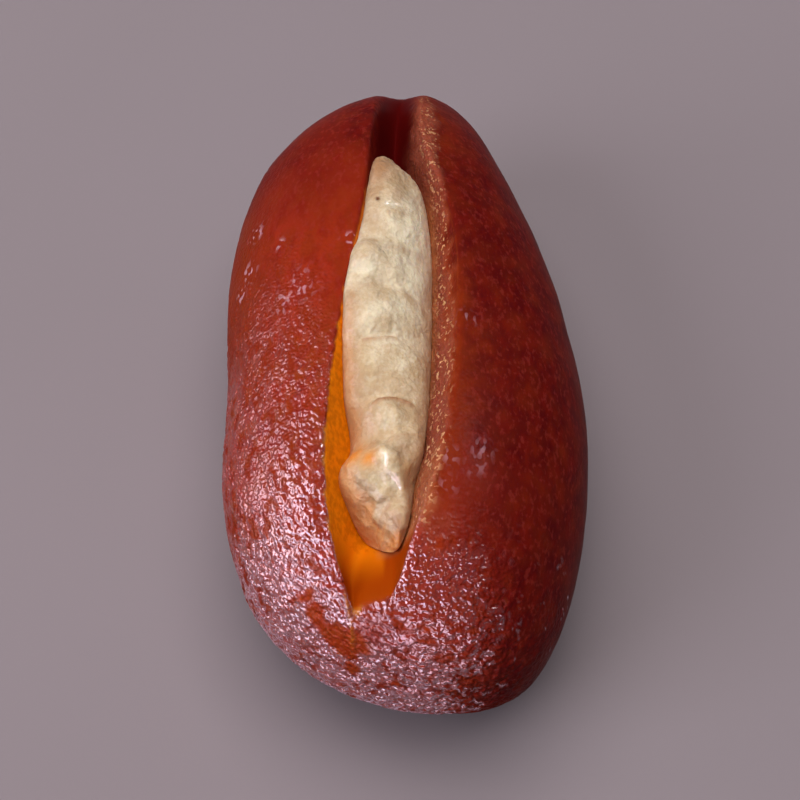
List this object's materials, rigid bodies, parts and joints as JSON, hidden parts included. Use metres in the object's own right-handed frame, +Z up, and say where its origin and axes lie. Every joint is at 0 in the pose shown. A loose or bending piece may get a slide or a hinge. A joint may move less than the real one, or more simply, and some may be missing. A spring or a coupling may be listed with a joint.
{
  "type": "cham cham",
  "caption": "Oval roll of syrup-soaked milk dough, slit along its top and stuffed with a ruffled bar of pale cream filling.",
  "frame": {"origin": "centre of the overall bounding box, on the resting plane", "axes": "+Z up, Y along the roll; the fatter end is at -Y and the slit runs out over the +Y end; +X is to the right seen from -Y"},
  "size_m": [0.0402, 0.0772, 0.0347],
  "materials": {
    "dough": "wet syrup sheen over finely wrinkled deep red-brown skin, amber where it is cut",
    "filling": "moist, slightly grainy pale cream"
  },
  "bodies": {
    "root": {"dough": "dough", "filling": "filling"}
  },
  "joints": []
}
